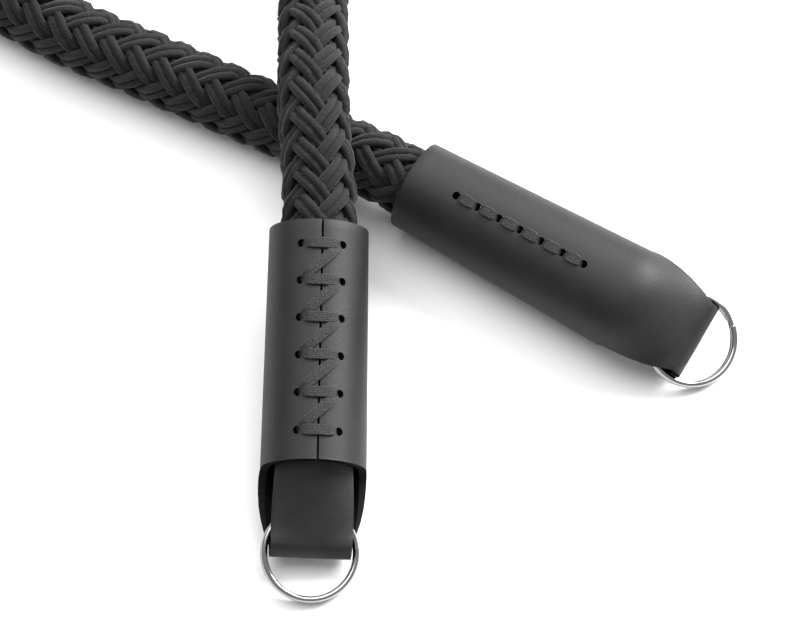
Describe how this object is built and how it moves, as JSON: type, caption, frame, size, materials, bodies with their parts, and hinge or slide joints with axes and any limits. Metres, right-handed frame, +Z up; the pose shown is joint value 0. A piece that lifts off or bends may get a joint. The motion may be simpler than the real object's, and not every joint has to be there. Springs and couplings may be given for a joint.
{
  "type": "rope camera strap",
  "caption": "Braided rope camera strap in a long loop with crossed ends, each end in a laced leather sleeve whose folded tongue holds a split ring.",
  "frame": {"origin": "centre of the strap's box, on the table under it", "axes": "+Z up from the table, +Y from the crossed ends along the loop to its far bend, +X across the loop"},
  "size_m": [0.0866, 0.3547, 0.0211],
  "materials": {
    "rope": "black braided cotton yarn, matt",
    "leather": "black leather with a soft sheen",
    "steel": "polished bright wire"
  },
  "bodies": {
    "root": {"rope": "rope", "sleeve_a": "leather", "sleeve_b": "leather", "ring_a": "steel", "ring_b": "steel"}
  },
  "joints": []
}
